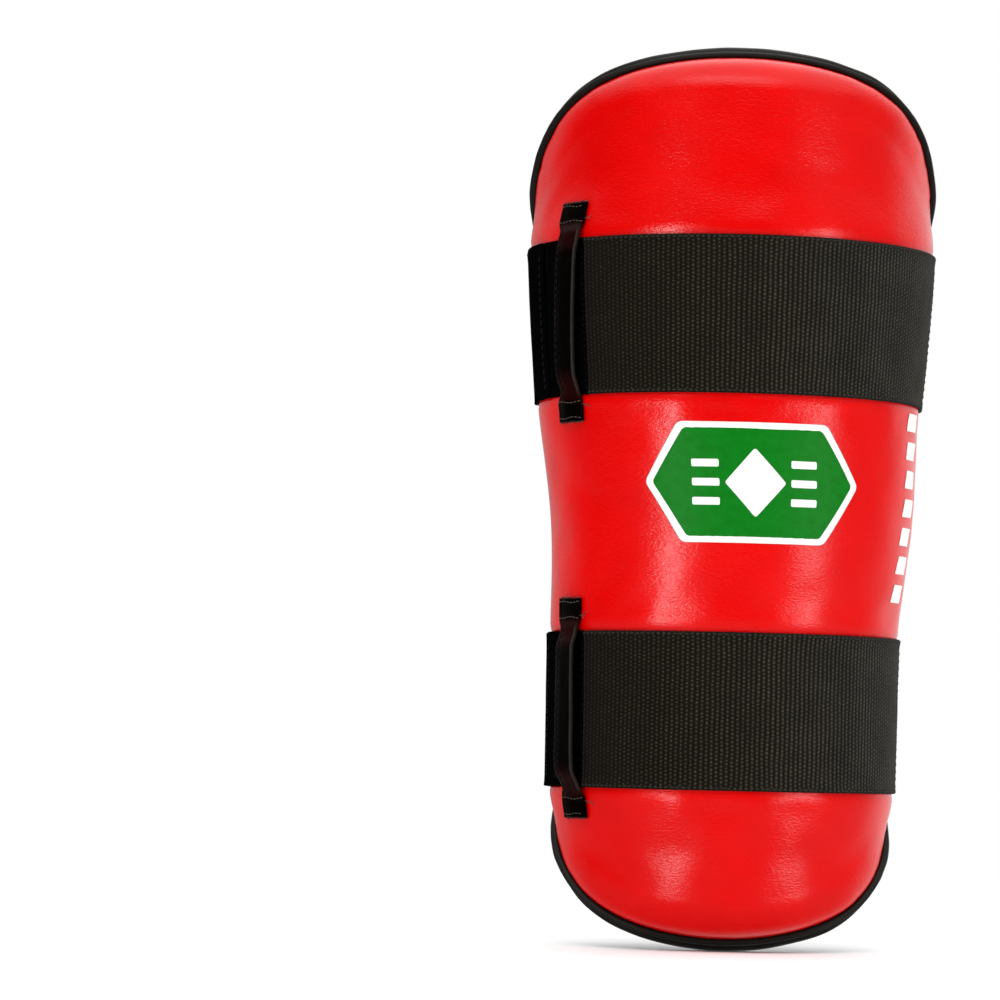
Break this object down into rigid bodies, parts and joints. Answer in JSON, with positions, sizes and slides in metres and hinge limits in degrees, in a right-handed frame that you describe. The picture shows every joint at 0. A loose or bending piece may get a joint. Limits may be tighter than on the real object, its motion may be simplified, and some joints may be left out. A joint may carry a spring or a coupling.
{
  "type": "forearm guard",
  "caption": "Padded half-round forearm guard with red cover, black bound rim and wide elastic straps with hook-and-loop tabs.",
  "frame": {"origin": "middle of the arm channel's mouth at the wrist end: centre of the width, in the plane of the two side rims' half-round centre, at the height of the lowest point of the rim binding", "axes": "+Z along the forearm from the wrist end to the wider elbow end, -Y out of the padded face, +X towards the rim where the elastic straps are sewn"},
  "size_m": [0.1373, 0.0906, 0.288],
  "materials": {
    "cover_red": "red grained synthetic leather, satin",
    "foam_pale": "closed-cell foam, hidden under the cover",
    "foam_grey": "soft closed-cell foam, hidden in the back panel",
    "lining": "charcoal brushed knit lining",
    "binding": "black smooth synthetic leather binding",
    "thread_black": "black nylon thread",
    "print_white": "white printed film",
    "print_green": "green printed film",
    "elastic": "dark grey woven elastic webbing",
    "loop_pile": "black brushed loop pile tape",
    "keeper_leather": "black glossy synthetic leather strip",
    "tab_nylon": "black nylon fastening tab",
    "hook_tape": "black moulded hook tape"
  },
  "bodies": {
    "guard": {"outer_cover": "cover_red", "impact_foam": "foam_pale", "comfort_foam": "foam_grey", "arm_lining": "lining", "rim_binding": "binding", "edge_piping": "binding", "rim_stitching": "thread_black", "badge_border": "print_white", "badge_field": "print_green", "badge_motif": "print_white", "side_marks": "print_white", "upper_elastic_front": "elastic", "upper_loop_tape": "loop_pile", "upper_keeper": "keeper_leather", "lower_elastic_front": "elastic", "lower_loop_tape": "loop_pile", "lower_keeper": "keeper_leather", "strap_stitches": "thread_black", "keeper_stitches": "thread_black"},
    "upper_tail": {"upper_elastic_tail": "elastic"},
    "lower_tail": {"lower_elastic_tail": "elastic"},
    "upper_tab": {"upper_strap_tab": "tab_nylon", "upper_hook_patch": "hook_tape", "upper_tab_stitches": "thread_black"},
    "lower_tab": {"lower_strap_tab": "tab_nylon", "lower_hook_patch": "hook_tape", "lower_tab_stitches": "thread_black"}
  },
  "joints": [
    {"name": "upper_strap_swing", "type": "hinge", "parent": "guard", "child": "upper_tail", "pos_m": [0.06509, 0.00644, 0.201], "axis": [-0.0717, -0.0339, -0.9968], "range_deg": [0, 120]},
    {"name": "upper_tab_peel", "type": "hinge", "parent": "upper_tail", "child": "upper_tab", "pos_m": [-0.06668, 0.00663, 0.201], "axis": [0.0717, -0.0339, -0.9968], "range_deg": [0, 150]},
    {"name": "lower_strap_swing", "type": "hinge", "parent": "guard", "child": "lower_tail", "pos_m": [0.05736, 0.00608, 0.076], "axis": [-0.0093, 0.0319, -0.9994], "range_deg": [0, 120]},
    {"name": "lower_tab_peel", "type": "hinge", "parent": "lower_tail", "child": "lower_tab", "pos_m": [-0.05895, 0.00627, 0.076], "axis": [0.0093, 0.032, -0.9994], "range_deg": [0, 150]}
  ]
}
